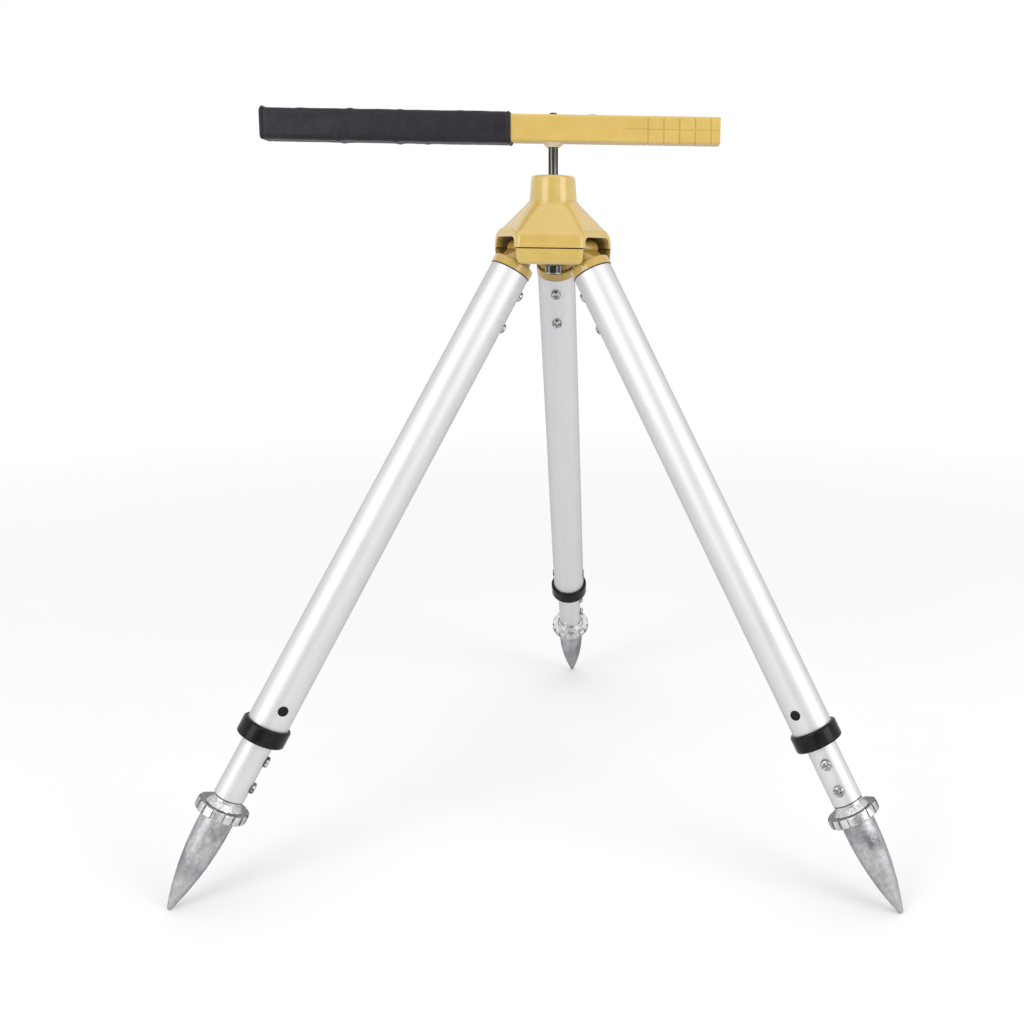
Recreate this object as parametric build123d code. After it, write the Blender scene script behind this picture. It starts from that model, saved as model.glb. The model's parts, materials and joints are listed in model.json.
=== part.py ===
"""Surveyor tripod with a padded cross bar and three telescoping, twist-locked, spiked legs.

Millimetres, +Z up. The origin is on the vertical axis of the head, on the ground between the feet.
The front of the tripod faces -Y: two legs spread to the front left and front right, one to the rear.
Each leg is modelled hanging straight down from its hinge: local -Z runs down the leg, local +X points
outward and local Y lies along the hinge pin. A distance "down the leg" is measured from the hinge pin.
"""

import os
from math import atan2, cos, radians, sin, tan

from build123d import *

# ---------------------------------------------------------------- driving dimensions
hinge_height = 581.0            # ground to hinge pins, legs fully spread
hinge_radius = 32.5             # head axis to hinge pins
leg_spread = 30.5               # leg to vertical, against the spread stop
leg_azimuths = {"left": 210.0, "right": 330.0, "rear": 90.0}
foot_twist = {"left": 160.0, "right": -75.0, "rear": -90.0}   # where each foot's screws face

running_gap = 0.05              # radial clearance of pins and shafts that turn
sliding_gap = 0.3               # clearance of parts that slide or pass each other

# head castings, heights measured from the hinge plane, where the two castings meet
head_apothem = 49.5             # hexagon, centre to flat on average
head_skew = 0.024               # share by which the flats at the legs lie further out, the others in
head_corner = 6.0
rim_height = 4.5                # proud rim along the skirt's lower edge
rim_step = 0.7
seam_edge = 0.8                 # broken edge on each side of the joint between the castings
skirt_top = 13.5
shoulder_radius = 8.0
shoulder_steps = 4
cone_top = 43.0
cone_top_apothem = 24.2
cone_steps = 5
crown_corner = 21.5             # the hexagon's corners widen to this at the cone's top
crown_growth = 0.4              # exponent of that widening, below 1 to start it quickly
neck_bottom_radius = 23.3
neck_top_radius = 20.9
neck_top = 69.0
neck_edge = 3.5
neck_root_height = 1.2          # ledge at the foot of the neck
neck_root_step = 0.5
neck_root_edge = 0.9
base_bottom = -15.0
base_draft = 6.0                # degrees
base_edge = 5.0
hood_half_width = 25.8          # hood over each leg bay
hood_top = 18.4
hood_corner = 15.5
hood_inner = 20.0
hood_step = 0.3                 # hood face set back from the rim
hood_edge = 1.2
bay_half_width = 21.0
bay_top = 10.5
bay_corner = 5.8
bay_inner = 16.0                # head axis to the inner wall of each leg bay
lower_bay_half_width = 24.3
lower_bay_corner = 1.0

pin_radius = 4.0
pin_half_length = 29.0
pin_edge = 0.5

# centre stud and the nut that clamps the head
stud_radius = 4.6
stud_thread_radius = 4.0
stud_end_radius = 3.6
stud_top = 127.7
stud_edge = 0.7
stud_shoulder = 98.0
stud_bottom = -25.0
clip_groove_radius = 3.1
clip_radius = 6.2
clip_bottom = 123.6
clip_thickness = 1.0
clip_opening = 4.3
nut_flats = 13.0
nut_height = 7.6
nut_edge = 0.9
nut_turn = 3.0                  # degrees
washer_radius = 8.4
washer_thickness = 1.6
thread_gap = 0.1                # around the stud where it passes through a casting or washer

# cross bar, a square tube with one closed, ribbed end
bar_size = 25.4
bar_wall = 2.5
bar_edge = 2.8
bar_bottom = 99.9
bar_left = -273.4
bar_right = 159.4
bar_end_wall = 5.0
bar_end_edge = 1.0
grip_grooves = 5
grip_pitch = 14.93
grip_last = 150.4               # groove nearest the closed end
groove_width = 1.1
groove_depth = 0.5
parting_start = 68.0            # mould line along the middle of the ribbed end
parting_width = 0.7
parting_depth = 0.35
bush_radius = 7.0
bush_flange_radius = 10.8
bush_flange_tip = 6.4
bush_flange_height = 4.3
sleeve_wall = 2.0
sleeve_right = -39.3
sleeve_end_wall = 2.2
sleeve_gap = 0.05
cap_screw_x = 37.3
cap_screw_radius = 4.8
cap_screw_height = 1.3
cap_screw_shank = 3.0
cap_screw_length = 10.0
cap_socket_radius = 2.0
cap_socket_floor = 0.5

# legs, distances down the leg from the hinge pin
tube_radius = 19.0
tube_wall = 2.0
tube_top = 26.0
tube_bottom = 508.6
barrel_radius = 8.5
barrel_half_length = 18.0
barrel_edge = 1.6
heel_reach = 14.0               # stop heel, hinge pin to heel face
heel_half_width = 10.0
cup_top = 17.0
cup_radius = 19.8
cup_edge = 1.6
tube_edge = 0.5                 # broken edges where the cup meets the tube
web_top = 4.0                   # web between the barrel and the cup
web_top_depth = 14.0
web_top_corner = 4.0
web_foot_depth = 27.0
web_foot_corner = 12.0
web_inset = 1.0                 # web ends set in from the barrel's ends
plug_bottom = 88.0
plug_wall = 3.5
top_screw_offsets = (16.0, 51.0)        # below the tube's top
side_washer_radius = 5.6
side_washer_gap = 0.1

collar_top = 495.0
collar_bottom = 511.0
collar_radius = 22.5
collar_edge = 2.2
bushing_top = 462.0
boss_down = 476.5
boss_angle = 90.0               # the two bosses face sideways
boss_radius = 4.6
boss_proud = 0.7
boss_edge = 0.6
fit_gap = 0.05                  # between parts fixed to each other

inner_radius = 14.0
inner_wall = 2.0
inner_top = 165.0
inner_bottom = 566.5
inner_edge = 0.6
expander_top = 132.3
expander_bottom = 161.7
journal_radius = 9.0
lock_cap_radius = 12.0
lock_cap_thickness = 3.0
core_shoulder = 3.0
core_plug_length = 34.0
core_bore_radius = 4.0
expander_slit = 4.0

foot_screw_offsets = (14.2, 39.5)       # above the inner tube's lower end
foot_plug_length = 50.0
neck_radius = 13.6
neck_flare = 4.5                # the neck widens by this much where it meets the flange
flange_top = 574.4
flange_bottom = 582.8
flange_radius = 23.8
flange_edge = 1.3
flange_teeth = 16
tooth_depth = 1.8
tooth_gap = 2.6
spike_root_radius = 15.0
spike_mid_radius = 12.1
spike_mid = 632.0
spike_tip_radius = 2.5
spike_tip_slope = 15.0          # degrees, the side of the spike where the rounded tip begins

screw_head_radius = 5.0
screw_head_height = 3.4
screw_shank_radius = 2.3
screw_hole_radius = 2.5
recess_width = 1.1
recess_length = 5.2
recess_depth = 1.2
beyond = 5.0                    # how far a cutting shape runs past what it cuts

# ---------------------------------------------------------------- derived
spike_tip = (hinge_height - spike_tip_radius) / cos(radians(leg_spread))   # centre of the rounded tip
skirt_apothem = head_apothem - rim_step
leg_face = head_apothem * (1 + head_skew)       # head axis to the flats that face the legs
tube_bore_radius = tube_radius - tube_wall
inner_bore_radius = inner_radius - inner_wall
plug_radius = tube_bore_radius - fit_gap
inner_plug_radius = inner_bore_radius - fit_gap
bar_top = bar_bottom + bar_size
bar_middle = bar_bottom + bar_size / 2


def rod(radius, low, high):
    """Upright cylinder between two heights."""
    return Pos(0, 0, low) * Cylinder(radius, high - low, align=(Align.CENTER, Align.CENTER, Align.MIN))


def cone(low_radius, high_radius, low, high):
    """Upright cone between two heights."""
    shape = Cone(low_radius, high_radius, high - low, align=(Align.CENTER, Align.CENTER, Align.MIN))
    return Pos(0, 0, low) * shape


def block(x, y, z):
    """Box from its three (low, high) pairs."""
    size = [high - low for low, high in (x, y, z)]
    middle = [(high + low) / 2 for low, high in (x, y, z)]
    return Pos(*middle) * Box(*size)


def across(radius, half_length):
    """Cylinder along Y, centred on the origin."""
    return Rot(90, 0, 0) * Cylinder(radius, 2 * half_length)


def top_edges(shape):
    return shape.edges().group_by(Axis.Z)[-1]


def bottom_edges(shape):
    return shape.edges().group_by(Axis.Z)[0]


def end_edges(shape, axis):
    """Edges at both ends of a shape along the axis."""
    groups = shape.edges().group_by(axis)
    return groups[0] + groups[-1]


def hexagon(apothem, corner, height):
    """Rounded hexagon face with flats at 30, 90, 150 ... degrees, every second one facing a leg."""
    corners = []
    for number in range(6):
        outward = apothem / cos(radians(30))
        sideways = apothem * head_skew * (1 if number % 2 else -1) / sin(radians(30))
        corners.append(Vector(outward, sideways, 0).rotate(Axis.Z, 60 * number))
    shape = make_face(Polyline(corners, close=True))
    return Pos(0, 0, height) * fillet(shape.vertices(), corner)


def on_head(shape):
    """Lifts a shape drawn from the hinge plane to its real height."""
    return Pos(0, 0, hinge_height) * shape


def around_head(shape):
    """The same shape in the direction of each leg."""
    return [Rot(0, 0, azimuth) * shape for azimuth in leg_azimuths.values()]


def arch(half_width, top, corner, bottom, inner, outer):
    """Round-cornered arch section, extruded outward from inner to outer along +X."""
    feet = [(-half_width, bottom), (half_width, bottom)]
    shoulders = [(half_width, top), (-half_width, top)]
    face = make_face(Polyline(feet + shoulders, close=True))
    face = fillet(face.vertices().sort_by(Axis.Y)[-2:], corner)
    return extrude(Plane(origin=(inner, 0, 0), x_dir=(0, 1, 0), z_dir=(1, 0, 0)) * face, outer - inner)


def leg_frame(side):
    """Places a leg shape, drawn down -Z from the hinge pin, at its spread position."""
    return Rot(0, 0, leg_azimuths[side]) * Pos(hinge_radius, 0, hinge_height) * Rot(0, -leg_spread, 0)


def down(radius, top, bottom):
    """Cylinder between two distances down the leg."""
    return rod(radius, -bottom, -top)


def ring(outer, inner, top, bottom):
    """Tube section between two distances down the leg."""
    return down(outer, top, bottom) - down(inner, top - beyond, bottom + beyond)


def radial(angle, radius, distance):
    """Location on a leg's surface, local +Z pointing outward at the angle."""
    return Rot(0, 0, angle) * Pos(radius, 0, -distance) * Rot(0, 90, 0)


def side_hole(radius, angle, distance):
    """Cutting cylinder from the leg's axis outward at the angle."""
    return radial(angle, 0, distance) * rod(radius, 0, tube_radius + beyond)


def pan_screw(length):
    """Pan head screw with a cross recess; its head stands on the XY plane."""
    head = rod(screw_head_radius, 0, screw_head_height)
    head = fillet(top_edges(head), screw_head_height * 0.6)
    head = chamfer(bottom_edges(head), screw_head_height * 0.1)
    recess_z = (screw_head_height - recess_depth, screw_head_height + beyond)
    half_length = recess_length / 2
    half_width = recess_width / 2
    head -= block((-half_length, half_length), (-half_width, half_width), recess_z)
    head -= block((-half_width, half_width), (-half_length, half_length), recess_z)
    return head + rod(screw_shank_radius, -length, 0)


def one_solid(shape):
    """The single solid of a shape that was joined from several."""
    solids = shape.solids()
    assert len(solids) == 1, f"{len(solids)} solids"
    return solids[0]


# ---------------------------------------------------------------- head
def make_hexagon_body():
    """Skirt, rounded shoulder and hexagonal cone, whose corners round off towards the neck."""
    lean = atan2(skirt_apothem - cone_top_apothem, cone_top - skirt_top)
    start = skirt_top - shoulder_radius * tan(lean / 2)
    outline = [(skirt_apothem, seam_edge)]
    for step in range(shoulder_steps + 1):
        turn = lean * step / shoulder_steps
        inset = shoulder_radius * (1 - cos(turn))
        outline.append((skirt_apothem - inset, start + shoulder_radius * sin(turn)))
    apothem, height = outline[-1]
    for step in range(1, cone_steps + 1):
        share = step / cone_steps
        outline.append((apothem + share * (cone_top_apothem - apothem), height + share * (cone_top - height)))
    sections = []
    for apothem, height in outline:
        softness = max(height - start, 0) / (cone_top - start)
        corner = head_corner + (crown_corner - head_corner) * softness**crown_growth
        sections.append(hexagon(apothem, corner, height))
    return loft(sections, ruled=True)


def make_hood():
    """Arched cover over one leg bay, towards +X."""
    hood = arch(hood_half_width, hood_top, hood_corner, 0, hood_inner, leg_face - hood_step)
    rim = hood.edges().group_by(Axis.X)[-1].filter_by(lambda edge: edge.center().Z > seam_edge)
    return fillet(rim, hood_edge)


def make_upper_casting():
    rim = extrude(hexagon(head_apothem, head_corner, 0), rim_height)
    rim = chamfer(top_edges(rim) + bottom_edges(rim), rim_step)
    neck = cone(neck_bottom_radius, neck_top_radius, cone_top - beyond, neck_top)
    neck = fillet(top_edges(neck), neck_edge)
    root = rod(cone_top_apothem + neck_root_step, cone_top - beyond, cone_top + neck_root_height)
    root = fillet(top_edges(root), neck_root_edge)
    body = make_hexagon_body() + rim + neck + root
    for hood in around_head(make_hood()):
        body += hood
    bay = arch(bay_half_width, bay_top, bay_corner, -beyond, bay_inner, leg_face + beyond)
    seat = Pos(hinge_radius, 0, 0) * across(pin_radius, pin_half_length)
    for hollow in around_head(bay) + around_head(seat):
        body -= hollow
    return one_solid(on_head(body - rod(stud_radius + thread_gap, -beyond, neck_top + beyond)))


def make_lower_casting():
    body = extrude(hexagon(head_apothem, head_corner, 0), base_bottom, taper=base_draft)
    body = fillet(bottom_edges(body), base_edge)
    body = chamfer(top_edges(body), seam_edge)
    low = base_bottom - beyond
    bay = arch(lower_bay_half_width, beyond, lower_bay_corner, low, bay_inner, leg_face + beyond)
    seat = Pos(hinge_radius, 0, 0) * across(pin_radius, pin_half_length)
    for hollow in around_head(bay) + around_head(seat):
        body -= hollow
    return one_solid(on_head(body - rod(stud_thread_radius + thread_gap, low, beyond)))


def make_center_stud():
    body = rod(stud_thread_radius, stud_bottom, 0) + rod(stud_radius, 0, stud_shoulder)
    body += rod(stud_end_radius, stud_shoulder, stud_top)
    body = chamfer(end_edges(body, Axis.Z), stud_edge)
    groove = rod(stud_end_radius + beyond, clip_bottom, clip_bottom + clip_thickness)
    groove -= rod(clip_groove_radius, clip_bottom, clip_bottom + clip_thickness)
    return one_solid(on_head(body - groove))


def make_stud_clip():
    heights = (clip_bottom, clip_bottom + clip_thickness)
    body = rod(clip_radius, *heights) - rod(clip_groove_radius, *heights)
    body -= block((0, clip_radius + beyond), (-clip_opening / 2, clip_opening / 2), heights)
    return one_solid(on_head(body))


def make_head_washer():
    heights = (base_bottom - washer_thickness, base_bottom)
    return one_solid(on_head(rod(washer_radius, *heights) - rod(stud_thread_radius + thread_gap, *heights)))


def make_head_nut():
    top = base_bottom - washer_thickness
    bottom = top - nut_height
    prism = Pos(0, 0, bottom) * extrude(RegularPolygon(nut_flats / 2, 6, major_radius=False), nut_height)
    round_off = rod(nut_flats / 2 / cos(radians(30)), bottom, top)
    round_off = chamfer(bottom_edges(round_off), nut_edge)
    body = (prism & round_off) - rod(stud_thread_radius, bottom, top)
    return one_solid(on_head(Rot(0, 0, nut_turn) * body))


# ---------------------------------------------------------------- cross bar
def bar_blank(size, left, right, edge):
    """Square bar along X with rounded long edges, centred on the bar's own height."""
    plane = Plane(origin=(left, 0, bar_middle), x_dir=(0, 1, 0), z_dir=(1, 0, 0))
    return extrude(plane * RectangleRounded(size, size, edge), right - left)


def make_bar_arm():
    body = bar_blank(bar_size, bar_left, bar_right, bar_edge)
    body = fillet(body.edges().group_by(Axis.X)[-1], bar_end_edge)
    body -= bar_blank(bar_size - 2 * bar_wall, bar_left - beyond, bar_right - bar_end_wall, bar_end_edge)
    core = bar_blank(bar_size - 2 * groove_depth, bar_left, bar_right, bar_edge - groove_depth)
    for number in range(grip_grooves):
        x = grip_last - number * grip_pitch
        cut = (x - groove_width / 2, x + groove_width / 2)
        body -= block(cut, (-bar_size, bar_size), (bar_bottom - beyond, bar_top + beyond)) - core
    line = (bar_middle - parting_width / 2, bar_middle + parting_width / 2)
    line_depth = bar_size / 2 - parting_depth
    for y in ((-bar_size, -line_depth), (line_depth, bar_size)):
        body -= block((parting_start, bar_right + beyond), y, line)
    body -= rod(bush_radius, bar_bottom - beyond, bar_top + beyond)
    body -= Pos(cap_screw_x, 0, 0) * rod(cap_screw_shank, bar_middle, bar_top + beyond)
    return one_solid(on_head(body))


def make_bar_sleeve():
    size = bar_size + 2 * sleeve_wall
    body = bar_blank(size, bar_left - sleeve_end_wall, sleeve_right, bar_edge + sleeve_wall)
    body = fillet(body.edges().group_by(Axis.X)[0], bar_end_edge)
    body -= bar_blank(bar_size + 2 * sleeve_gap, bar_left, sleeve_right + beyond, bar_edge)
    return one_solid(on_head(body))


def make_bar_bush():
    body = rod(bush_radius, bar_bottom, bar_top)
    body += cone(bush_flange_tip, bush_flange_radius, bar_bottom - bush_flange_height, bar_bottom)
    body -= rod(stud_radius + running_gap, bar_bottom - 2 * beyond, stud_shoulder)
    body -= rod(stud_end_radius + running_gap, stud_shoulder, bar_top + beyond)
    body -= rod(clip_radius + sliding_gap, clip_bottom - running_gap, bar_top + beyond)
    return one_solid(on_head(body))


def make_bar_cap_screw():
    dome = rod(cap_screw_radius, bar_top, bar_top + cap_screw_height)
    dome = fillet(top_edges(dome), cap_screw_height * 0.85)
    socket = extrude(RegularPolygon(cap_socket_radius, 6, major_radius=False), beyond)
    body = dome + rod(cap_screw_shank, bar_top - cap_screw_length, bar_top)
    body -= Pos(0, 0, bar_top + cap_socket_floor) * socket
    return one_solid(on_head(Pos(cap_screw_x, 0, 0) * body))


# ---------------------------------------------------------------- legs
def make_hinge_pin(side):
    pin = across(pin_radius, pin_half_length)
    return one_solid(leg_frame(side) * chamfer(end_edges(pin, Axis.Y), pin_edge))


def make_hinge_washers(side):
    thickness = bay_half_width - barrel_half_length - 2 * side_washer_gap
    middle = (bay_half_width + barrel_half_length) / 2
    washer = across(side_washer_radius, thickness / 2) - across(pin_radius + fit_gap, thickness)
    return [leg_frame(side) * Pos(0, hand * middle, 0) * washer for hand in (-1, 1)]


def make_leg_knuckle(side):
    barrel = across(barrel_radius, barrel_half_length)
    barrel = fillet(end_edges(barrel, Axis.Y), barrel_edge)
    heel = block((-heel_reach, 0), (-heel_half_width, heel_half_width), (0, barrel_radius))
    web_width = 2 * (barrel_half_length - web_inset)
    foot = Pos(0, 0, -cup_top) * RectangleRounded(web_foot_depth, web_width, web_foot_corner)
    head = Pos(0, 0, -web_top) * RectangleRounded(web_top_depth, web_width, web_top_corner)
    web = loft([foot, head], ruled=True)
    cup = down(cup_radius, cup_top, tube_top)
    cup = fillet(top_edges(cup), cup_edge)
    cup = chamfer(bottom_edges(cup), tube_edge)
    plug = ring(plug_radius, plug_radius - plug_wall, tube_top - fit_gap, plug_bottom)
    body = barrel + heel + web + cup + plug
    body -= across(pin_radius + running_gap, barrel_half_length + beyond)
    for offset in top_screw_offsets:
        body -= side_hole(screw_shank_radius, 180, tube_top + offset)
    return one_solid(leg_frame(side) * body)


def make_knuckle_screws(side):
    screw = pan_screw(tube_wall + plug_wall)
    downs = [tube_top + offset for offset in top_screw_offsets]
    return [leg_frame(side) * radial(180, tube_radius, distance) * screw for distance in downs]


def make_outer_tube(side):
    body = down(tube_radius, tube_top, tube_bottom)
    body = chamfer(top_edges(body), tube_edge)
    body -= down(tube_bore_radius, tube_top, tube_bottom)
    for offset in top_screw_offsets:
        body -= side_hole(screw_hole_radius, 180, tube_top + offset)
    for hand in (-1, 1):
        body -= side_hole(boss_radius + fit_gap, hand * boss_angle, boss_down)
    return one_solid(leg_frame(side) * body)


def make_leg_collar(side):
    collar = down(collar_radius, collar_top, collar_bottom)
    collar = fillet(end_edges(collar, Axis.Z), collar_edge)
    collar -= down(tube_radius + fit_gap, collar_top, tube_bottom + fit_gap)
    bushing = down(plug_radius, bushing_top, collar_bottom - collar_edge)
    bosses = radial(boss_angle, 0, boss_down) * Cylinder(boss_radius, 2 * (tube_radius + boss_proud))
    bosses = fillet(bosses.edges().filter_by(GeomType.CIRCLE), boss_edge)
    body = collar + bushing + bosses
    body -= down(inner_radius + sliding_gap, bushing_top - beyond, collar_bottom + beyond)
    return one_solid(leg_frame(side) * body)


def make_lock_expander(side):
    bore = journal_radius + running_gap
    body = ring(tube_bore_radius - sliding_gap, bore, expander_top, expander_bottom)
    half_slit = expander_slit / 2
    body -= block((0, tube_radius), (-half_slit, half_slit), (-expander_bottom, -expander_top))
    return one_solid(leg_frame(side) * body)


def make_lock_core(side):
    cap_bottom = expander_top - sliding_gap
    plug_end = inner_top + core_plug_length
    cap = down(lock_cap_radius, cap_bottom - lock_cap_thickness, cap_bottom)
    journal = down(journal_radius, cap_bottom, inner_top)
    shoulder = down(inner_radius, inner_top - core_shoulder, inner_top)
    plug = down(inner_plug_radius, inner_top, plug_end)
    body = cap + journal + shoulder + plug
    body -= down(core_bore_radius, expander_top - 2 * beyond, plug_end + beyond)
    return one_solid(leg_frame(side) * body)


def make_inner_tube(side):
    body = down(inner_radius, inner_top, inner_bottom)
    body = chamfer(bottom_edges(body), inner_edge)
    body -= down(inner_bore_radius, inner_top, inner_bottom)
    for offset in foot_screw_offsets:
        body -= side_hole(screw_hole_radius, foot_twist[side], inner_bottom - offset)
    return one_solid(leg_frame(side) * body)


def make_foot_spike(side):
    slope = radians(spike_tip_slope)
    root = (spike_root_radius, -flange_bottom + flange_edge)
    middle = (spike_mid_radius, -spike_mid)
    shoulder = (spike_tip_radius * cos(slope), -spike_tip - spike_tip_radius * sin(slope))
    outline = Spline(root, middle, shoulder)
    core = Polyline(shoulder, (0, shoulder[1]), (0, root[1]), root)
    spike = revolve(Plane.XZ * make_face([outline, core]), Axis.Z)
    spike += Pos(0, 0, -spike_tip) * Sphere(spike_tip_radius)
    flange = down(flange_radius, flange_top, flange_bottom)
    flange = fillet(end_edges(flange, Axis.Z), flange_edge)
    outside = (flange_radius - tooth_depth, flange_radius + beyond)
    gap = block(outside, (-tooth_gap / 2, tooth_gap / 2), (-flange_bottom - beyond, -flange_top + beyond))
    for number in range(flange_teeth):
        flange -= Rot(0, 0, (number + 0.5) * 360 / flange_teeth) * gap
    neck = down(neck_radius, inner_bottom, flange_top + flange_edge)
    neck = chamfer(top_edges(neck), inner_edge)
    flare = cone(neck_radius + neck_flare, neck_radius, -flange_top - flange_edge, -flange_top + neck_flare)
    plug = down(inner_plug_radius, inner_bottom - foot_plug_length, flange_top)
    body = spike + flange + neck + flare + plug
    for offset in foot_screw_offsets:
        body -= side_hole(screw_shank_radius, foot_twist[side], inner_bottom - offset)
    return one_solid(leg_frame(side) * body)


def make_foot_screws(side):
    screw = pan_screw(inner_radius / 2)
    downs = [inner_bottom - offset for offset in foot_screw_offsets]
    return [leg_frame(side) * radial(foot_twist[side], inner_radius, distance) * screw for distance in downs]


# ---------------------------------------------------------------- assembly
head_parts = {
    "upper_casting": make_upper_casting,
    "lower_casting": make_lower_casting,
    "center_stud": make_center_stud,
    "stud_clip": make_stud_clip,
    "head_washer": make_head_washer,
    "head_nut": make_head_nut,
    "bar_arm": make_bar_arm,
    "bar_sleeve": make_bar_sleeve,
    "bar_bush": make_bar_bush,
    "bar_cap_screw": make_bar_cap_screw,
}
leg_parts = {
    "hinge_pin": make_hinge_pin,
    "hinge_washers": make_hinge_washers,
    "leg_knuckle": make_leg_knuckle,
    "knuckle_screws": make_knuckle_screws,
    "outer_tube": make_outer_tube,
    "leg_collar": make_leg_collar,
    "lock_expander": make_lock_expander,
    "lock_core": make_lock_core,
    "inner_tube": make_inner_tube,
    "foot_spike": make_foot_spike,
    "foot_screws": make_foot_screws,
}

nodes = {name: make() for name, make in head_parts.items()}
for side in leg_azimuths:
    for name, make in leg_parts.items():
        nodes[f"{name}_{side}"] = make(side)

os.makedirs("parts", exist_ok=True)
for name, shape in nodes.items():
    solid = Compound(children=[s.solids()[0] for s in shape]) if isinstance(shape, list) else shape
    export_step(solid, f"parts/{name}.step")
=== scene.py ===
"""Looks of the surveyor tripod: materials for every part, the padded bar cover, floor, light and camera.

Everything is in metres in the frame of the CAD model: +Z up, the ground at z = 0, the front towards -Y.
"""

import json
from math import atan2, cos, pi, radians, sin

import bpy
from mathutils import Matrix, Vector, noise


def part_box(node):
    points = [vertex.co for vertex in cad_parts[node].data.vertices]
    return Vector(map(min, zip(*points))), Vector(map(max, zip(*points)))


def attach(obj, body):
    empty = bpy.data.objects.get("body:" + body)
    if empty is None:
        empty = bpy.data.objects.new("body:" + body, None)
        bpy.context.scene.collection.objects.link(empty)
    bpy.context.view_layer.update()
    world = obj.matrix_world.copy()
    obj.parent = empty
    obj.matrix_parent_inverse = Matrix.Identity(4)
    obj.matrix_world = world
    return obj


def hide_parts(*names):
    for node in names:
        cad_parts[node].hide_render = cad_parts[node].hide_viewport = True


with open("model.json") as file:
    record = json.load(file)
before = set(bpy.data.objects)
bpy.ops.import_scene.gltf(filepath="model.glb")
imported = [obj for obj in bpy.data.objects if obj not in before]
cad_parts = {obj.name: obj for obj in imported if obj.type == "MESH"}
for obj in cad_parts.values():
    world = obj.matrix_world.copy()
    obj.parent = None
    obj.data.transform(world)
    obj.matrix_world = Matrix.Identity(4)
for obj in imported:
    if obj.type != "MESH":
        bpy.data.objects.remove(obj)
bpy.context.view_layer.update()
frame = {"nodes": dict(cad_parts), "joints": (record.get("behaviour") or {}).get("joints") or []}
mm = 0.001

SIDES = ("left", "right", "rear")

BAY_WALL = (14 * mm, 16 * mm)           # leg bays: where the painted shade starts, from the head's axis
BAY_MOUTH = (49 * mm, 44 * mm)          # where it fades out
BAY_SIDE = (24.75 * mm, 24.45 * mm)     # its edge, to each side of the leg
BAY_TOP = (11.6 * mm, 11.2 * mm)        # its edge, above the joint between the castings

NECK_TOP = 8 * mm                       # top of the foot's neck, above its flange
TURNED_END = (-9 * mm, -7 * mm)         # where the turned surface gives way to the cast spike
DARK_PATCHES = (-78 * mm, -38 * mm)     # where the spike's dark patches fade in, from below
NUT_CHAMFER = (1.1 * mm, 0.7 * mm)      # painted highlight on the chamfer, above the nut's underside
NUT_CORNERS = (7.1 * mm, 7.25 * mm)     # painted highlights on the corners, from the nut's axis

BAR_EDGE = 2.8 * mm                     # corner radius of the square bar
COVER_EDGE = 4.6 * mm                   # corner radius of its padded cover
COVER_STATION = 1.5 * mm                # spacing of the cover's cross sections
COVER_ENDS = 5 * mm                     # length of each shaped end
COVER_WALL = 2.4 * mm                   # thickness of the closed end
COVER_LINING = 3 * mm                   # length of the bore's first section, at the hem
COVER_SLACK = 0.05 * mm                 # between the bar and the bore
PINCH_HEIGHT = 1.6 * mm                 # raised ridge across the top of the closed end
PINCH_PLACE = 2.0 * mm                  # middle of that ridge, from the end
PINCH_REACH = 3.2 * mm
# each row: mm in from the end, mm below the cover's surface, share of the unevenness
PINCHED_END = (
    (0, 1.1, 0.3), (0.25, 0.4, 0.7), (0.9, 0.1, 1), (2.2, 0, 1), (3.4, 0.1, 1), (4.1, 0.6, 1), (4.9, 0.1, 1),
)
ROLLED_HEM = (
    (5.2, 0.05, 1), (4.5, 0.55, 1), (3.8, -0.2, 1), (2.7, -0.45, 1), (1.6, -0.25, 1), (0.7, 0.4, 0.6),
    (0.15, 1.2, 0.3),
)
# each row: place as a share of the cover's length, height in mm
TOP_LUMPS = ((0.36, 0.9), (0.56, 0.6), (0.16, 0.4), (0.80, 0.35))
BOTTOM_LUMPS = ((0.31, 0.7), (0.54, 0.8), (0.65, 0.6))
TOP_LUMP_REACH = 0.022                  # share of the cover's length
BOTTOM_LUMP_REACH = 0.020

FLOOR_HALF_SIZE = 3.0
FLOOR_FADE = (0.8, 2.4)                 # full and gone, as distances from the point between the feet

# each row: name, place, width and height, power, the point it faces
SOFTBOXES = (
    ("overhead", (0.0, -0.2, 2.6), (3.2, 3.2), 8, (0, 0, 0.4)),
    ("left_front", (-1.40, -1.79, 1.40), (1.2, 1.8), 20, (0, 0, 1.4)),
    ("right_front", (1.86, -1.30, 1.40), (1.2, 1.8), 20, (0, 0, 1.4)),
)
# light tent: range of the direction's Y, and the brightness at each end of it
FRONT_OPENING = (-0.985, -0.90, 0.25, 1.0)
REAR_OPENING = (0.80, 0.98, 1.0, 0.5)

CAMERA_PLACE = (0.0764, -1.0463, 0.5735)
CAMERA_AZIMUTH = -0.92                  # degrees, from straight in front
CAMERA_ELEVATION = 9.09
CAMERA_ROLL = 0.86
CAMERA_SENSOR = 36.0                    # mm, width
CAMERA_LENS = 37.19                     # mm
CAMERA_SHIFT = (-0.131, -0.083)

RANGE_SOCKETS = ("From Min", "From Max", "To Min", "To Max")


# ---------------------------------------------------------------- leg frames
def leg_direction(side):
    """Unit vector down a leg, from the hinge to the foot."""
    joint = next(j for j in frame["joints"] if j["name"] == f"leg_extend_{side}")
    along = Vector(joint["axis"])
    return -along if along.z > 0 else along


def leg_turn(side):
    """Rotation that stands a leg upright, foot down, for textures that run along it."""
    return (-leg_direction(side)).rotation_difference(Vector((0, 0, 1))).to_euler("XYZ")


# ---------------------------------------------------------------- material helpers
def srgb(red, green, blue):
    """Linear colour from ordinary 0 to 255 values."""
    channels = [value / 255 for value in (red, green, blue)]
    linear = [c / 12.92 if c <= 0.04045 else ((c + 0.055) / 1.055) ** 2.4 for c in channels]
    return (*linear, 1.0)


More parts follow.
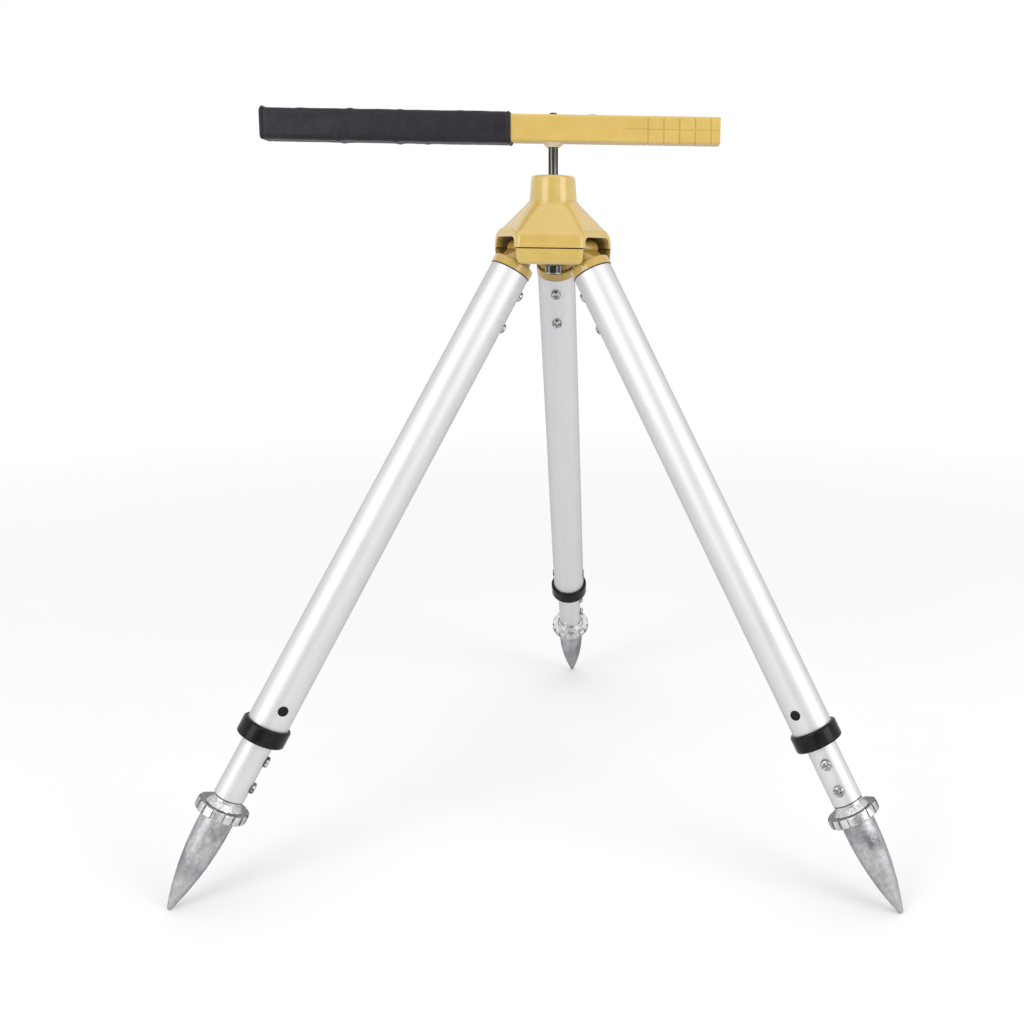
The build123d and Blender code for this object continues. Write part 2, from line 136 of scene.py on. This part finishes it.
class Look:
    """A Principled material, with short calls for the texture nodes that drive it."""

    def __init__(self, name, settings, turn=(0, 0, 0), stretch=(1, 1, 1)):
        self.material = bpy.data.materials.new(name)
        self.material.use_nodes = True
        self.nodes = self.material.node_tree.nodes
        self.links = self.material.node_tree.links
        self.shader = self.nodes["Principled BSDF"]
        for socket, value in settings.items():
            self.shader.inputs[socket].default_value = value
        self.turn = turn
        self.coords = self.mapped(turn, stretch)
        self.height = None

    def mapped(self, turn, stretch):
        """Coordinates that move with the piece, turned and then stretched."""
        source = self.nodes.new("ShaderNodeTexCoord").outputs["Object"]
        turned = self.nodes.new("ShaderNodeMapping")
        turned.inputs["Rotation"].default_value = turn
        self.links.new(source, turned.inputs["Vector"])
        stretched = self.nodes.new("ShaderNodeMapping")
        stretched.inputs["Scale"].default_value = stretch
        self.links.new(turned.outputs["Vector"], stretched.inputs["Vector"])
        return stretched.outputs["Vector"]

    def noise(self, size, detail=3.0, roughness=0.55, coords=None, distortion=0.0):
        """Cloudy noise with features of about that size."""
        node = self.nodes.new("ShaderNodeTexNoise")
        node.inputs["Scale"].default_value = 1 / size
        node.inputs["Detail"].default_value = detail
        node.inputs["Roughness"].default_value = roughness
        node.inputs["Distortion"].default_value = distortion
        self.links.new(coords or self.coords, node.inputs["Vector"])
        return node.outputs["Fac"]

    def cells(self, size):
        """Distance to the nearest of scattered points, for pits and grains."""
        node = self.nodes.new("ShaderNodeTexVoronoi")
        node.inputs["Scale"].default_value = 1 / size
        self.links.new(self.coords, node.inputs["Vector"])
        return node.outputs["Distance"]

    def spread(self, value, low, high, at_low=0.0, at_high=1.0):
        """Maps the values from low to high onto at_low to at_high, and clamps."""
        node = self.nodes.new("ShaderNodeMapRange")
        for socket, number in zip(RANGE_SOCKETS, (low, high, at_low, at_high)):
            node.inputs[socket].default_value = number
        self.links.new(value, node.inputs["Value"])
        return node.outputs["Result"]

    def mix(self, factor, first, second):
        """Colour between two colours or sockets."""
        node = self.nodes.new("ShaderNodeMix")
        node.data_type = "RGBA"
        self.links.new(factor, node.inputs["Factor"])
        for socket, colour in (("A", first), ("B", second)):
            target = next(s for s in node.inputs if s.name == socket and s.type == "RGBA")
            if isinstance(colour, tuple):
                target.default_value = colour
            else:
                self.links.new(colour, target)
        return next(s for s in node.outputs if s.type == "RGBA")

    def math(self, operation, first, second):
        """One arithmetic step between sockets or numbers."""
        node = self.nodes.new("ShaderNodeMath")
        node.operation = operation
        for index, value in enumerate((first, second)):
            if isinstance(value, (int, float)):
                node.inputs[index].default_value = value
            else:
                self.links.new(value, node.inputs[index])
        return node.outputs["Value"]

    def axis(self, name, turn=None):
        """One coordinate in metres, in the turned frame."""
        node = self.nodes.new("ShaderNodeSeparateXYZ")
        coords = self.mapped(self.turn if turn is None else turn, (1, 1, 1))
        self.links.new(coords, node.inputs["Vector"])
        return node.outputs[name]

    def absolute(self, value):
        return self.math("ABSOLUTE", value, 0)

    def reach(self, axes):
        """Distance from the origin, measured along the marked axes only."""
        node = self.nodes.new("ShaderNodeVectorMath")
        node.operation = "LENGTH"
        self.links.new(self.mapped((0, 0, 0), axes), node.inputs[0])
        return node.outputs["Value"]

    def color(self, socket):
        self.links.new(socket, self.shader.inputs["Base Color"])

    def roughness(self, socket):
        self.links.new(socket, self.shader.inputs["Roughness"])

    def bump(self, height, depth):
        """Adds relief, depth in metres between the lowest and highest values."""
        node = self.nodes.new("ShaderNodeBump")
        node.inputs["Distance"].default_value = depth
        node.inputs["Strength"].default_value = 1.0
        self.links.new(height, node.inputs["Height"])
        if self.height is not None:
            self.links.new(self.height, node.inputs["Normal"])
        self.height = node.outputs["Normal"]
        self.links.new(self.height, self.shader.inputs["Normal"])


# ---------------------------------------------------------------- materials
def bay_painted_shade(look):
    """Painted shade: 1 on the walls inside the head's three leg bays, where shade falls, 0 on its outside."""
    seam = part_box("lower_casting")[1].z
    total = 0.0
    for side in SIDES:
        along = leg_direction(side)
        turn = (0, 0, -atan2(along.y, along.x))
        outward = look.axis("X", turn)
        sideways = look.absolute(look.axis("Y", turn))
        past_wall = look.spread(outward, *BAY_WALL)
        before_mouth = look.spread(outward, *BAY_MOUTH)
        between_sides = look.spread(sideways, *BAY_SIDE)
        under_top = look.spread(look.axis("Z"), *(seam + height for height in BAY_TOP))
        mask = look.math("MULTIPLY", look.math("MULTIPLY", past_wall, before_mouth), between_sides)
        total = look.math("MAXIMUM", total, look.math("MULTIPLY", mask, under_top))
    return total


def groove_painted_shade(look, height, half_width):
    """Painted shade: 1 in the thin groove where two parts meet at that height, fading to 0 beside it."""
    distance = look.absolute(look.math("SUBTRACT", look.axis("Z"), height))
    return look.spread(distance, half_width, half_width * 0.5)


def yellow_paint(name, base, shade, turn=(0, 0, 0), joint=None, bays=False, coat=1.0):
    """Glossy enamel over a cast surface: faint mottling and waviness, painted shade in the joint groove and
    the leg bays.
    """
    look = Look(name, {"Coat Weight": coat, "Coat Roughness": 0.04, "Specular IOR Level": 0.25}, turn)
    mottle = look.spread(look.noise(22 * mm), 0.35, 0.65)
    broad = look.mix(mottle, base, shade)
    fine = look.spread(look.noise(1.8 * mm, detail=2), 0.3, 0.7, 0.0, 0.16)
    coloured = look.mix(fine, broad, shade)
    # painted shade: dark brown on the walls inside the leg bays, where shade falls
    if bays:
        coloured = look.mix(look.math("MULTIPLY", bay_painted_shade(look), 0.8), coloured, srgb(52, 40, 20))
    # painted shade: dark brown in the groove where the parts meet
    if joint is not None:
        coloured = look.mix(groove_painted_shade(look, joint, 0.75 * mm), coloured, srgb(40, 30, 16))
    look.color(coloured)
    look.roughness(look.spread(look.noise(7 * mm), 0.3, 0.7, 0.26, 0.36))
    look.bump(look.noise(11 * mm, detail=1), 0.12 * mm)
    look.bump(look.noise(1.5 * mm, detail=1), 0.008 * mm)
    return look.material


def anodised_tube(name, turn, joint):
    """Drawn, satin anodised tube: fine lines along it, faint cloudy patches."""
    look = Look(name, {"Metallic": 1.0, "Specular Tint": (0.45, 0.45, 0.46, 1)}, turn, (1, 1, 0.012))
    lines = look.noise(0.5 * mm, detail=3)
    bands = look.noise(3.2 * mm, detail=2)
    clouds = look.noise(30 * mm, coords=look.mapped(turn, (1, 1, 0.6)))
    tone = look.math("ADD", look.math("MULTIPLY", lines, 0.35), look.math("MULTIPLY", bands, 0.65))
    plain = look.mix(look.spread(tone, 0.3, 0.7), (0.64, 0.645, 0.655, 1), (0.70, 0.705, 0.71, 1))
    cloudy = look.mix(look.spread(clouds, 0.35, 0.75, 0.0, 0.35), plain, (0.74, 0.742, 0.745, 1))
    # painted shade: near black in the groove at the top of the tube, under the knuckle's cup
    look.color(look.mix(groove_painted_shade(look, joint, 0.6 * mm), cloudy, (0.03, 0.028, 0.025, 1)))
    look.roughness(look.spread(look.math("ADD", tone, clouds), 0.7, 1.3, 0.50, 0.57))
    look.bump(lines, 0.006 * mm)
    return look.material


def cast_aluminium(name, turn, flange_z):
    """Die cast foot: a turned, bright neck and flange, a mottled spike with darker, shiny, pitted patches."""
    look = Look(name, {"Metallic": 1.0, "Specular Tint": (0.4, 0.4, 0.41, 1)}, turn)
    height = look.axis("Z")
    turned_part = look.spread(height, *(flange_z + end for end in TURNED_END))
    blotch = look.noise(5 * mm, detail=6, roughness=0.68, distortion=0.3)
    grain = look.noise(1.1 * mm, detail=4, roughness=0.7)
    flow = look.noise(2.5 * mm, detail=4, coords=look.mapped(turn, (1, 1, 0.2)))
    patchy = look.math("ADD", look.math("MULTIPLY", blotch, 0.6), look.math("MULTIPLY", flow, 0.4))
    dull = look.mix(look.spread(patchy, 0.36, 0.64), (0.34, 0.34, 0.36, 1), (0.58, 0.58, 0.595, 1))
    dull = look.mix(look.spread(grain, 0.55, 0.75, 0.0, 0.4), dull, (0.74, 0.74, 0.75, 1))
    upper_half = look.spread(height, *(flange_z + end for end in DARK_PATCHES))
    patch = look.math("MULTIPLY", look.spread(look.noise(26 * mm, detail=4), 0.44, 0.60), upper_half)
    dull = look.mix(look.math("MULTIPLY", patch, 0.65), dull, (0.11, 0.115, 0.13, 1))
    bright = look.mix(look.spread(flow, 0.35, 0.65), (0.46, 0.465, 0.48, 1), (0.72, 0.72, 0.73, 1))
    metal = look.mix(turned_part, dull, bright)
    # painted shade: near black in the groove between the tube's end and the foot's neck
    joint = groove_painted_shade(look, flange_z + NECK_TOP, 0.8 * mm)
    look.color(look.mix(joint, metal, (0.04, 0.04, 0.042, 1)))
    plain_rough = look.spread(blotch, 0.35, 0.65, 0.30, 0.48)
    cast_rough = look.math("SUBTRACT", plain_rough, look.math("MULTIPLY", patch, 0.14))
    smooth = look.spread(grain, 0.3, 0.7, 0.10, 0.20)
    difference = look.math("SUBTRACT", smooth, cast_rough)
    look.roughness(look.math("ADD", cast_rough, look.math("MULTIPLY", difference, turned_part)))
    look.bump(blotch, 0.35 * mm)
    look.bump(look.spread(grain, 0.2, 0.8), 0.07 * mm)
    look.bump(look.math("MULTIPLY", look.cells(2.2 * mm), look.spread(patch, 0, 1, 0.3, 1.6)), 0.10 * mm)
    return look.material


def black_gloss():
    """Moulded black plastic collar with a few light rubs."""
    look = Look("black_gloss", {"Specular IOR Level": 0.13})
    rub = look.spread(look.noise(9 * mm, detail=6, roughness=0.7), 0.5, 0.72)
    look.color(look.mix(rub, (0.009, 0.009, 0.011, 1), (0.020, 0.020, 0.024, 1)))
    look.roughness(look.spread(look.noise(4 * mm, detail=4), 0.35, 0.7, 0.05, 0.12))
    look.bump(look.noise(2.2 * mm, detail=2), 0.015 * mm)
    return look.material


def plated_steel(name, low, high, rough_low, rough_high, stretch=(1, 1, 1)):
    """Plated steel: small change of tone and gloss, drawn out along the part where it is stretched."""
    look = Look(name, {"Metallic": 1.0, "Specular Tint": (0.4, 0.4, 0.4, 1)}, stretch=stretch)
    tone = look.noise(1.6 * mm, detail=4, roughness=0.6)
    look.color(look.mix(look.spread(tone, 0.36, 0.64), low, high))
    look.roughness(look.spread(look.noise(2.5 * mm, detail=3), 0.3, 0.7, rough_low, rough_high))
    look.bump(tone, 0.02 * mm)
    return look.material


def nut_steel():
    """Plated nut with a painted dark reflection on its faces and painted highlights on its chamfer and
    corners.
    """
    look = Look("nut_steel", {"Metallic": 1.0, "Specular Tint": (0.4, 0.4, 0.4, 1)})
    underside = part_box("head_nut")[0].z
    # painted highlight along the chamfer and up the corners
    rim_highlight = look.spread(look.axis("Z"), *(underside + height for height in NUT_CHAMFER))
    corners = look.spread(look.reach((1, 1, 0)), *NUT_CORNERS)
    tone = look.spread(look.noise(2.5 * mm), 0.35, 0.65)
    # painted reflection: the faces dark, as if they mirrored the dark side in front
    dark = look.mix(tone, (0.085, 0.082, 0.08, 1), (0.17, 0.165, 0.16, 1))
    look.color(look.mix(look.math("MAXIMUM", rim_highlight, corners), dark, (0.62, 0.61, 0.59, 1)))
    look.roughness(look.spread(look.noise(1.5 * mm), 0.3, 0.7, 0.12, 0.22))
    look.bump(tone, 0.006 * mm)
    return look.material


def nylon():
    """Cream moulded nylon."""
    look = Look("nylon", {"Specular IOR Level": 0.45})
    tone = look.spread(look.noise(5 * mm), 0.35, 0.65)
    look.color(look.mix(tone, srgb(196, 180, 150), srgb(216, 203, 178)))
    look.roughness(look.spread(look.noise(2 * mm), 0.3, 0.7, 0.35, 0.5))
    look.bump(look.noise(0.8 * mm), 0.01 * mm)
    return look.material


def vinyl():
    """Black vinyl skin over foam: fine grain, soft creases, slightly greyer where it is rubbed."""
    look = Look("sleeve_vinyl", {"Specular IOR Level": 0.2})
    rub = look.spread(look.noise(16 * mm, detail=5, coords=look.mapped((0, 0, 0), (0.4, 1, 1))), 0.4, 0.7)
    look.color(look.mix(rub, (0.014, 0.0135, 0.018, 1), (0.021, 0.0205, 0.026, 1)))
    look.roughness(look.spread(look.noise(6 * mm, detail=4), 0.3, 0.7, 0.36, 0.48))
    look.bump(look.noise(7 * mm, detail=3, coords=look.mapped((0, 0, 0), (0.5, 1, 1))), 0.18 * mm)
    look.bump(look.cells(0.75 * mm), 0.03 * mm)
    return look.material


def paint(material, *names):
    """Gives CAD nodes their material."""
    for name in names:
        slots = frame["nodes"][name].data.materials
        slots.clear()
        slots.append(material)


def of_each_leg(*parts):
    return [f"{part}_{side}" for side in SIDES for part in parts]


def paint_head():
    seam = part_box("lower_casting")[1].z
    head_enamel = yellow_paint("head_enamel", srgb(196, 168, 92), srgb(190, 161, 86), joint=seam, bays=True)
    paint(head_enamel, "upper_casting", "lower_casting")
    paint(yellow_paint("bar_enamel", srgb(200, 172, 96), srgb(194, 165, 90), coat=0.35), "bar_arm")
    stud_tones = (0.02, 0.018, 0.016, 1), (0.14, 0.128, 0.115, 1)
    dark_steel = plated_steel("stud_steel", *stud_tones, 0.16, 0.34, stretch=(1, 1, 0.05))
    paint(dark_steel, "center_stud", "stud_clip")
    zinc = plated_steel("zinc_steel", (0.16, 0.155, 0.15, 1), (0.34, 0.33, 0.32, 1), 0.22, 0.40)
    paint(zinc, "head_washer", *of_each_leg("hinge_pin"))
    paint(nut_steel(), "head_nut")
    paint(nylon(), "bar_bush", *of_each_leg("hinge_washers", "lock_expander"))


def paint_legs():
    # painted glints and painted reflections: random patches from near black to bright stand in for the
    # screws' dark reflections and highlights
    glinting_nickel = plated_steel("screw_nickel_glints", (0.05, 0.047, 0.044, 1), (0.70, 0.69, 0.67, 1), 0.06, 0.14)
    paint(glinting_nickel, "bar_cap_screw", *of_each_leg("knuckle_screws", "foot_screws"))
    paint(black_gloss(), *of_each_leg("leg_collar"))
    for side in SIDES:
        turn = leg_turn(side)
        stand = turn.to_matrix()
        tube_top = max((stand @ vertex.co).z for vertex in frame["nodes"][f"outer_tube_{side}"].data.vertices)
        tube_end = min((stand @ vertex.co).z for vertex in frame["nodes"][f"inner_tube_{side}"].data.vertices)
        # painted shade: the knuckles' enamel is darker than the head's, for the shadow the head casts on them
        enamel = (srgb(184, 153, 74), srgb(176, 144, 66))
        paint(yellow_paint(f"knuckle_shaded_enamel_{side}", *enamel, turn, tube_top), f"leg_knuckle_{side}")
        paint(anodised_tube(f"anodised_{side}", turn, tube_top), f"outer_tube_{side}", f"inner_tube_{side}")
        metal = cast_aluminium(f"cast_aluminium_{side}", turn, tube_end - NECK_TOP)
        paint(metal, f"foot_spike_{side}", f"lock_core_{side}")


# ---------------------------------------------------------------- padded cover of the bar
def rounded_square(half, corner, side_points, corner_points):
    """Points round a rounded square in the YZ plane, with their outward directions."""
    ring = []
    corner = min(corner, half * 0.999)
    flat = half - corner
    for quarter in range(4):
        turn = Matrix.Rotation(quarter * pi / 2, 2)
        for step in range(side_points):
            offset = -flat + 2 * flat * step / side_points
            ring.append((turn @ Vector((half, offset)), turn @ Vector((1, 0))))
        for step in range(corner_points):
            angle = step / corner_points * pi / 2
            out = Vector((cos(angle), sin(angle)))
            ring.append((turn @ (Vector((flat, flat)) + corner * out), turn @ out))
    return ring


def swell(value, centre, width):
    """Smooth bump from 0 to 1 and back."""
    distance = abs(value - centre) / width
    return 0.0 if distance >= 1 else (1 + cos(distance * pi)) / 2


def cover_profile(left, right, outer, inner):
    """Stations along the cover, outside then inside: place on X, half width, share of the unevenness."""
    profile = [(left, 0.35 * outer, 0)]
    profile += [(left + inset * mm, outer - drop * mm, weight) for inset, drop, weight in PINCHED_END]
    length = right - left - 2 * COVER_ENDS
    count = round(length / COVER_STATION)
    profile += [(left + COVER_ENDS + step * length / count, outer, 1) for step in range(1, count)]
    profile += [(right - inset * mm, outer - drop * mm, weight) for inset, drop, weight in ROLLED_HEM]
    floor = left + COVER_WALL
    bore = [(right, inner, 0), (right - COVER_LINING, inner, 0), (floor, inner, 0), (floor, 0.4 * inner, 0)]
    return profile + bore


def unevenness(x, share, place, out):
    """How far the cover's surface stands out: soft waves, fine ripples and a few lumps along its edges."""
    push = 0.30 * mm * noise.noise(Vector((x * 55, place.x * 60, place.y * 60)))
    push += 0.16 * mm * noise.noise(Vector((x * 170, place.x * 150, place.y * 150 + 7)))
    for at, height in TOP_LUMPS:
        push += height * mm * swell(share, at, TOP_LUMP_REACH) * max(0.0, out.y)
    for at, height in BOTTOM_LUMPS:
        push += height * mm * swell(share, at, BOTTOM_LUMP_REACH) * max(0.0, -out.y)
    return push


def cap(vertices, faces, ring, centre, flip):
    """Closes a ring of vertices with a fan round its centre."""
    middle = len(vertices)
    vertices.append(centre)
    for index, first in enumerate(ring):
        after = ring[(index + 1) % len(ring)]
        faces.append((middle, after, first) if flip else (middle, first, after))


def make_cover():
    """Padded vinyl cover: closed and pinched at the left end, hemmed at the right, uneven all along."""
    low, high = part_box("bar_sleeve")
    bar_low, bar_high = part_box("bar_arm")
    middle = (low + high) / 2
    left, right = low.x, high.x
    outer = (high.y - low.y) / 2
    inner = (bar_high.y - bar_low.y) / 2 + COVER_SLACK
    vertices = []
    rings = []
    for x, half, weight in cover_profile(left, right, outer, inner):
        share = (x - left) / (right - left)
        corner = BAR_EDGE if half <= inner + COVER_SLACK else COVER_EDGE
        rings.append([])
        for place, out in rounded_square(half, corner, 14, 7):
            point = place + out * unevenness(x, share, place, out) * weight
            pinch = PINCH_HEIGHT * swell(x, left + PINCH_PLACE, PINCH_REACH) * max(0.0, place.y / outer) ** 6
            rings[-1].append(len(vertices))
            vertices.append((x, middle.y + point.x, middle.z + point.y + pinch * weight))
    faces = []
    for first, second in zip(rings, rings[1:]):
        for index in range(len(first)):
            after = (index + 1) % len(first)
            faces.append((first[index], first[after], second[after], second[index]))
    cap(vertices, faces, rings[0], (left, middle.y, middle.z), True)
    cap(vertices, faces, rings[-1], (left + COVER_WALL, middle.y, middle.z), False)
    mesh = bpy.data.meshes.new("padded_cover")
    mesh.from_pydata(vertices, [], faces)
    mesh.validate()
    for polygon in mesh.polygons:
        polygon.use_smooth = True
    cover = bpy.data.objects.new("padded_cover", mesh)
    bpy.context.scene.collection.objects.link(cover)
    mesh.materials.append(vinyl())
    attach(cover, "bar")
    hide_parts("bar_sleeve")


# ---------------------------------------------------------------- stage
def make_floor():
    """Pale plain floor round the feet, which fades into the white surroundings."""
    size = FLOOR_HALF_SIZE
    mesh = bpy.data.meshes.new("floor")
    corners = [(-size, -size, 0), (size, -size, 0), (size, size, 0), (-size, size, 0)]
    mesh.from_pydata(corners, [], [(0, 1, 2, 3)])
    floor = bpy.data.objects.new("floor", mesh)
    bpy.context.scene.collection.objects.link(floor)
    look = Look("floor_pale", {"Specular IOR Level": 0.2, "Roughness": 0.8})
    look.color(look.mix(look.noise(0.4), (0.80, 0.80, 0.80, 1), (0.82, 0.82, 0.82, 1)))
    fade = look.spread(look.reach((1, 1, 1)), *FLOOR_FADE, 1.0, 0.0)
    look.links.new(fade, look.shader.inputs["Alpha"])
    mesh.materials.append(look.material)


def make_surroundings():
    """White light tent: the camera sees pure white, the object also the dim openings in front and behind."""
    world = bpy.data.worlds.new("studio")
    world.use_nodes = True
    nodes, links = world.node_tree.nodes, world.node_tree.links
    direction = nodes.new("ShaderNodeTexCoord").outputs["Generated"]
    split = nodes.new("ShaderNodeSeparateXYZ")
    links.new(direction, split.inputs["Vector"])
    front = nodes.new("ShaderNodeMapRange")
    rear = nodes.new("ShaderNodeMapRange")
    for node, numbers in ((front, FRONT_OPENING), (rear, REAR_OPENING)):
        links.new(split.outputs["Y"], node.inputs["Value"])
        for socket, number in zip(RANGE_SOCKETS, numbers):
            node.inputs[socket].default_value = number
    tent = nodes.new("ShaderNodeMath")
    tent.operation = "MULTIPLY"
    links.new(front.outputs["Result"], tent.inputs[0])
    links.new(rear.outputs["Result"], tent.inputs[1])
    seen = nodes.new("ShaderNodeMath")
    seen.operation = "MAXIMUM"
    links.new(nodes.new("ShaderNodeLightPath").outputs["Is Camera Ray"], seen.inputs[0])
    links.new(tent.outputs["Value"], seen.inputs[1])
    background = nodes["Background"]
    background.inputs["Color"].default_value = (1, 1, 1, 1)
    links.new(seen.outputs["Value"], background.inputs["Strength"])
    bpy.context.scene.world = world


def make_lights():
    """A broad softbox overhead and a tall, narrow one at each side in front."""
    for name, place, (width, height), power, target in SOFTBOXES:
        data = bpy.data.lights.new(name, "AREA")
        data.shape = "RECTANGLE"
        data.size = width
        data.size_y = height
        data.energy = power
        box = bpy.data.objects.new(name, data)
        box.location = place
        box.rotation_euler = (Vector(place) - Vector(target)).to_track_quat("Z", "Y").to_euler()
        box.visible_camera = False
        bpy.context.scene.collection.objects.link(box)


def make_camera():
    """Camera in front, a little above the middle of the tripod, looking slightly down."""
    azimuth, elevation, roll = radians(CAMERA_AZIMUTH), radians(CAMERA_ELEVATION), radians(CAMERA_ROLL)
    back = Vector((sin(azimuth) * cos(elevation), -cos(azimuth) * cos(elevation), sin(elevation)))
    level_right = (-back).cross(Vector((0, 0, 1))).normalized()
    level_up = level_right.cross(-back)
    right = level_right * cos(roll) + level_up * sin(roll)
    up = level_up * cos(roll) - level_right * sin(roll)
    data = bpy.data.cameras.new("camera")
    data.sensor_width = CAMERA_SENSOR
    data.lens = CAMERA_LENS
    data.shift_x, data.shift_y = CAMERA_SHIFT
    camera = bpy.data.objects.new("camera", data)
    turned = Matrix((right, up, back)).transposed().to_4x4()
    camera.matrix_world = Matrix.Translation(CAMERA_PLACE) @ turned
    bpy.context.scene.collection.objects.link(camera)
    bpy.context.scene.camera = camera


paint_head()
paint_legs()
make_cover()
make_floor()
make_surroundings()
make_lights()
make_camera()
bpy.context.scene.view_settings.view_transform = "Standard"
